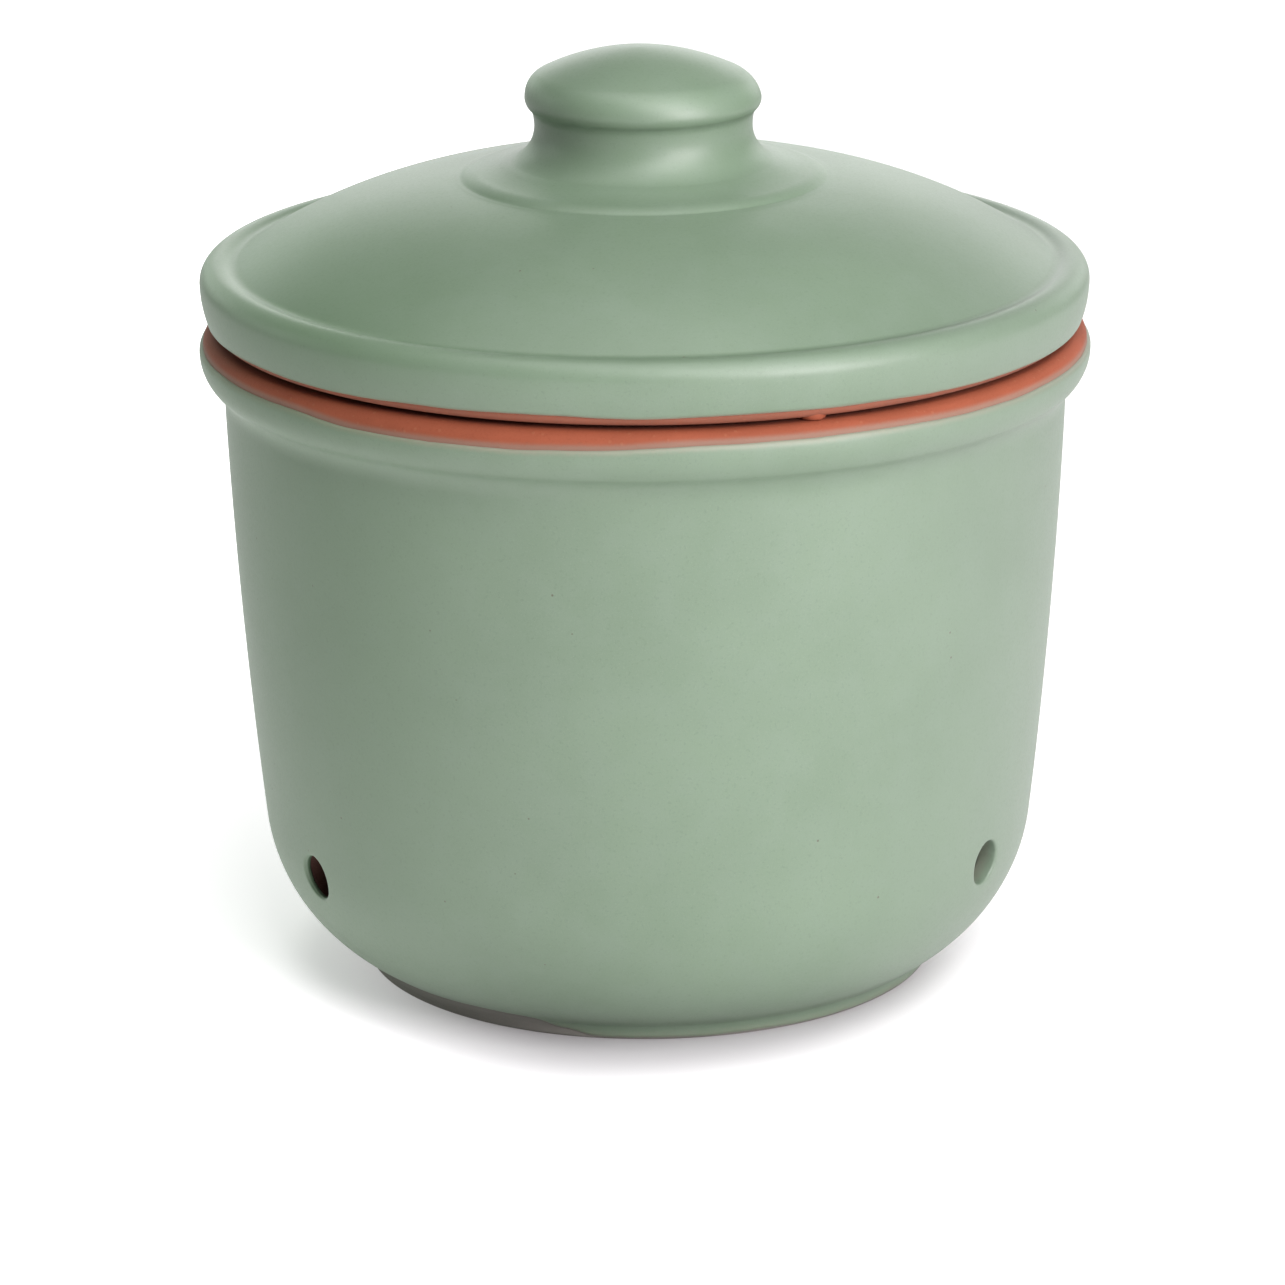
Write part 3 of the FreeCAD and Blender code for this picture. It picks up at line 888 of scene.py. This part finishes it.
class Graph:
    """The shader nodes of one material."""

    def __init__(self, name):
        self.material = bpy.data.materials.new(name)
        self.material.use_nodes = True
        self.tree = self.material.node_tree
        self.tree.nodes.clear()

    def node(self, kind, settings, sources):
        """A node with its settings and its sockets' values or links. Returns its outputs by name."""
        made = self.tree.nodes.new(kind)
        for name, value in settings.items():
            setattr(made, name, value)
        for name, value in sources.items():
            socket = made.inputs[name]
            if isinstance(value, Value):
                self.tree.links.new(value.source, socket)
            else:
                socket.default_value = value
        return {output.name: Value(self, output) for output in made.outputs if output.enabled}

    def noise(self, place, scale, detail, roughness):
        sources = {"Vector": place, "Scale": scale, "Detail": detail, "Roughness": roughness}
        return self.node("ShaderNodeTexNoise", {}, sources)["Fac"]

    def spots(self, place, scale):
        """Distance to the nearest of scattered points, in cells."""
        sources = {"Vector": place, "Scale": scale}
        return self.node("ShaderNodeTexVoronoi", {}, sources)["Distance"]

    def mix(self, share, first, second):
        """Colour between two colours."""
        sources = {0: share, 6: first, 7: second}
        return self.node("ShaderNodeMix", {"data_type": "RGBA"}, sources)["Result"]

    def squeezed(self, place, sizes):
        sources = {0: place, 1: sizes}
        return self.node("ShaderNodeVectorMath", {"operation": "MULTIPLY"}, sources)["Vector"]

    def bump(self, height, distance, strength):
        sources = {"Height": height, "Distance": distance, "Strength": strength}
        return self.node("ShaderNodeBump", {}, sources)["Normal"]

    def surface(self, **sources):
        named = {name.replace("_", " "): value for name, value in sources.items()}
        shader = self.node("ShaderNodeBsdfPrincipled", {}, named)["BSDF"]
        self.node("ShaderNodeOutputMaterial", {}, {"Surface": shader})
        return self.material


def colour(red, green, blue):
    """A colour from its screen values."""

    def light(value):
        value /= 255
        return value / 12.92 if value <= 0.04045 else ((value + 0.055) / 1.055) ** 2.4

    return (light(red), light(green), light(blue), 1.0)


SAGE_DEEP = colour(95, 114, 93)
SAGE_PALE = colour(100, 119, 98)
SAGE_MILKY = colour(104, 121, 104)
SAGE_DARK = colour(82, 100, 80)
SAGE_LIGHT = colour(119, 133, 120)
# The next two colours are painted light: a deeper green of painted shade for the -X side and a greyer
# green of painted sheen for the +X side.
SAGE_PAINTED_SHADE = colour(76, 104, 72)
SAGE_PAINTED_SHEEN = colour(98, 108, 98)
SAGE_THIN = colour(126, 124, 108)
PINHOLE = colour(74, 62, 50)
CLAY_DEEP = colour(121, 57, 30)
CLAY_PALE = colour(131, 63, 36)
CLAY_DARK = colour(101, 41, 20)
CLAY_GROG = colour(136, 82, 54)
CLAY_FILM = colour(118, 94, 80)
CLAY_FOOT = colour(112, 111, 104)
# Colour of painted shade, used for the lid's shadow on the rim's crest and for the dark of the vents'
# bores.
CLAY_PAINTED_SHADE = colour(50, 27, 21)
RELIEF = 0.0002
GLAZE_ROUGHNESS = 0.46
GLAZE_REFLECTION = 0.6
CLAY_ROUGHNESS = 0.82
# Where the painted shade (toward -X) and the painted sheen (toward +X) fade in, in millimetres
# across, and how strongly.
PAINTED_SHADE_SPAN = (-20.0, -60.0)
PAINTED_SHADE_SHARE = 0.35
PAINTED_SHEEN_SPAN = (22.0, 66.0)
PAINTED_SHEEN_SHARE = 0.3


def millimetres(graph):
    """Place on the object, in millimetres."""
    place = graph.node("ShaderNodeTexCoord", {}, {})["Object"]
    return graph.squeezed(place, (1000.0, 1000.0, 1000.0))


def sage_glaze():
    """Satin sage glaze, deepened by painted shade toward -X and greyed by a painted sheen toward +X,
    following the light.
    """
    graph = Graph("sage_glaze")
    place = millimetres(graph)
    thin = graph.node("ShaderNodeAttribute", {"attribute_name": "wash"}, {})["Fac"]
    broad = graph.noise(place, 0.03, 3.0, 0.55)
    cloud = graph.noise(place, 0.16, 3.0, 0.6)
    grain = graph.noise(place, 1.9, 3.0, 0.65)
    fine = graph.noise(place, 5.5, 2.0, 0.6)
    shade = graph.mix(broad.ramp(0.3, 0.7), SAGE_DEEP, SAGE_PALE)
    shade = graph.mix(cloud.ramp(0.35, 0.75) * 0.35, shade, SAGE_MILKY)
    shade = graph.mix(grain.ramp(0.54, 0.72) * 0.34, shade, SAGE_DARK)
    shade = graph.mix(fine.ramp(0.55, 0.75) * 0.3, shade, SAGE_LIGHT)
    pinhole = graph.spots(place, 0.13).ramp(0.034, 0.018)
    shade = graph.mix(pinhole * 0.7, shade, PINHOLE)
    rub = (thin + (grain - 0.5) * 0.5).ramp(0.35, 1.0)
    shade = graph.mix(rub * 0.75, shade, SAGE_THIN)
    across = graph.node("ShaderNodeSeparateXYZ", {}, {0: place})["X"]
    # Painted shade deepens the glaze toward -X, and a painted sheen greys it toward +X.
    shade = graph.mix(across.ramp(*PAINTED_SHADE_SPAN) * PAINTED_SHADE_SHARE, shade, SAGE_PAINTED_SHADE)
    shade = graph.mix(across.ramp(*PAINTED_SHEEN_SPAN) * PAINTED_SHEEN_SHARE, shade, SAGE_PAINTED_SHEEN)
    height = cloud * 0.2 + grain * 0.16 + fine * 0.1 - pinhole * 0.6
    normal = graph.bump(height, RELIEF, 0.4)
    rough = GLAZE_ROUGHNESS + (grain - 0.5) * 0.12 + rub * 0.15
    return graph.surface(
        Base_Color=shade, Roughness=rough, Normal=normal, Specular_IOR_Level=GLAZE_REFLECTION,
    )


def terracotta():
    """Red earthenware with turning rings and pale grog, filmed by the glaze, grey at the foot, and
    darkened by painted shade at the rim's crest and in the vents' bores.
    """
    graph = Graph("terracotta")
    place = millimetres(graph)
    broad = graph.noise(place, 0.05, 3.0, 0.55)
    grain = graph.noise(place, 2.4, 4.0, 0.7)
    grog = graph.spots(place, 0.55).ramp(0.2, 0.1)
    rings = graph.noise(graph.squeezed(place, (0.05, 0.05, 1.1)), 1.0, 3.0, 0.6)
    shade = graph.mix(broad.ramp(0.3, 0.7), CLAY_DEEP, CLAY_PALE)
    shade = graph.mix(rings.ramp(0.5, 0.75) * 0.3, shade, CLAY_PALE)
    shade = graph.mix(grain.ramp(0.52, 0.78) * 0.4, shade, CLAY_DARK)
    shade = graph.mix(grog * 0.35, shade, CLAY_GROG)
    wash = graph.node("ShaderNodeAttribute", {"attribute_name": "wash"}, {})["Fac"]
    film = (wash + (grain - 0.5) * 0.5).ramp(0.1, 1.0)
    shade = graph.mix(film * 0.85, shade, CLAY_FILM)
    shade = graph.mix((wash + (grain - 0.5) * 0.3 - 1.0).clamped(), shade, CLAY_FOOT)
    # Painted shade where the wash is below 0: the lid's shadow on the rim's crest and the dark inside
    # the vents' bores.
    shade = graph.mix((0.0 - wash).clamped() * 0.9, shade, CLAY_PAINTED_SHADE)
    height = grain * 0.4 + rings * 0.5 + grog * 0.2
    normal = graph.bump(height, RELIEF, 0.6)
    rough = CLAY_ROUGHNESS + (grain - 0.5) * 0.2
    return graph.surface(Base_Color=shade, Roughness=rough, Normal=normal)


glaze = sage_glaze()
clay = terracotta()
make_pot_clay(clay)
make_pot_glaze(glaze)
make_lid_clay(clay)
make_lid_glaze(glaze)


# Floor, light and camera, in metres. A panel's form is (distance, width, height).

FLOOR_REACH = 3.0
# The paper carries a painted shadow close to the foot, over FOOT_SHADE_SPAN from a centre moved by
# FLOOR_SHIFT, and painted light glowing in a strip on the left.
FLOOR_SHIFT = (0.006, 0.013, 0.0)
FOOT_SHADE_SPAN = (0.044, 0.062)
SHADED_PAPER = (0.56, 0.545, 0.56, 1.0)
OPEN_PAPER = (0.93, 0.92, 0.93, 1.0)
GLOW_START = (-0.01, -0.055)
GLOW_END = (-0.18, -0.13)
FAINT_GLOW = (0.03, 0.03, 0.03, 1.0)
STRIP_GLOW = (0.43, 0.43, 0.43, 1.0)
LIT_POINT = Vector((0, 0, 0.08))
WIDE_PANEL = (1.5, 0.75, 0.6)
SMALL_PANEL = (1.3, 0.34, 0.34)
SOFT_PANEL = (1.5, 1.0, 0.9)
CEILING_PANEL = (1.5, 1.2, 1.2)
PLAIN_LIGHT = (1.0, 1.0, 1.0)
WINDOW_TINT = (1.0, 0.935, 0.985)
SHADE_TINT = (0.88, 1.0, 0.88)
AIR_BRIGHTNESS = 0.1
PICTURE_WIDTH = 1285
LENS_IN_PIXELS = 6110
SENSOR_WIDTH = 36.0
CAMERA_PLACE = (0, -1.0, 0.3595)
CAMERA_AIM = 0.045
CAMERA_TILT = 16.98
CAMERA_ROLL = -0.42


def make_floor():
    """White paper with a painted shadow close to the foot, faintly glowing, and glowing more in a
    strip on the left as painted light.
    """
    mesh = bmesh.new()
    bmesh.ops.create_grid(mesh, x_segments=2, y_segments=2, size=FLOOR_REACH)
    data = bpy.data.meshes.new("studio_floor")
    mesh.to_mesh(data)
    mesh.free()
    graph = Graph("studio_floor")
    place = graph.node("ShaderNodeTexCoord", {}, {})["Object"]
    shifted = graph.node("ShaderNodeVectorMath", {}, {0: place, 1: FLOOR_SHIFT})["Vector"]
    away = graph.node("ShaderNodeVectorMath", {"operation": "LENGTH"}, {0: shifted})["Value"]
    across = graph.node("ShaderNodeSeparateXYZ", {}, {0: place})["X"]
    # Painted light: the paper glows more in a strip on the left, lifting the cast shadow there.
    strip = across.ramp(*GLOW_START) * across.ramp(*GLOW_END)
    glow = graph.mix(strip, FAINT_GLOW, STRIP_GLOW)
    # Painted shadow: the paper is darker close to the foot.
    paper = graph.mix(away.ramp(*FOOT_SHADE_SPAN), SHADED_PAPER, OPEN_PAPER)
    data.materials.append(graph.surface(
        Base_Color=paper, Roughness=0.9, Emission_Color=glow, Emission_Strength=1.0,
    ))
    floor = bpy.data.objects.new("studio_floor", data)
    bpy.context.scene.collection.objects.link(floor)


def add_panel(name, azimuth, elevation, form, brightness, tint=PLAIN_LIGHT):
    """Evenly bright panel facing the object. Azimuth runs from the front toward +X, in degrees."""
    distance, width, height = form
    lamp = bpy.data.lights.new(name, "AREA")
    lamp.shape = "RECTANGLE"
    lamp.size, lamp.size_y = width, height
    lamp.energy = brightness * math.pi * width * height
    lamp.color = tint
    light = bpy.data.objects.new(name, lamp)
    bpy.context.scene.collection.objects.link(light)
    turn, lift = math.radians(azimuth), math.radians(elevation)
    away = Vector((math.sin(turn) * math.cos(lift), -math.cos(turn) * math.cos(lift), math.sin(lift)))
    light.location = LIT_POINT + away * distance
    light.rotation_euler = away.to_track_quat("Z", "Y").to_euler()


make_floor()
add_panel("window", 45, 14, WIDE_PANEL, 11.0, WINDOW_TINT)
add_panel("window_core", 46, 14, SMALL_PANEL, 6.2, WINDOW_TINT)
add_panel("window_middle", 46, 30, SMALL_PANEL, 4.5, WINDOW_TINT)
add_panel("window_inner", 30, 24, SMALL_PANEL, 9.5, WINDOW_TINT)
add_panel("window_top", 40, 45, SMALL_PANEL, 4.5)
add_panel("front_soft", 25, 48, SOFT_PANEL, 5.4)
add_panel("right_soft", 70, 48, SOFT_PANEL, 1.0, WINDOW_TINT)
add_panel("left_wall", -110, 14, WIDE_PANEL, 2.0, SHADE_TINT)
add_panel("back_left", -150, 14, WIDE_PANEL, 2.4, SHADE_TINT)
add_panel("back", 180, 14, WIDE_PANEL, 3.3)
add_panel("back_right", 150, 14, WIDE_PANEL, 2.4)
add_panel("ceiling", 0, 85, CEILING_PANEL, 2.5)

world = bpy.data.worlds.new("studio_air")
world.use_nodes = True
air = world.node_tree.nodes["Background"]
air.inputs["Color"].default_value = (*PLAIN_LIGHT, 1.0)
air.inputs["Strength"].default_value = AIR_BRIGHTNESS
bpy.context.scene.world = world

scene = bpy.context.scene
scene.view_settings.view_transform = "Standard"
scene.view_settings.look = "None"
lens = bpy.data.cameras.new("photo_camera")
lens.sensor_width = SENSOR_WIDTH
lens.lens = LENS_IN_PIXELS / PICTURE_WIDTH * SENSOR_WIDTH
lens.clip_start = 0.01
camera = bpy.data.objects.new("photo_camera", lens)
scene.collection.objects.link(camera)
camera.matrix_world = (
    Matrix.Translation(CAMERA_PLACE)
    @ Matrix.Rotation(math.radians(CAMERA_AIM), 4, "Z")
    @ Matrix.Rotation(math.radians(90 - CAMERA_TILT), 4, "X")
    @ Matrix.Rotation(math.radians(CAMERA_ROLL), 4, "Z")
)
scene.camera = camera
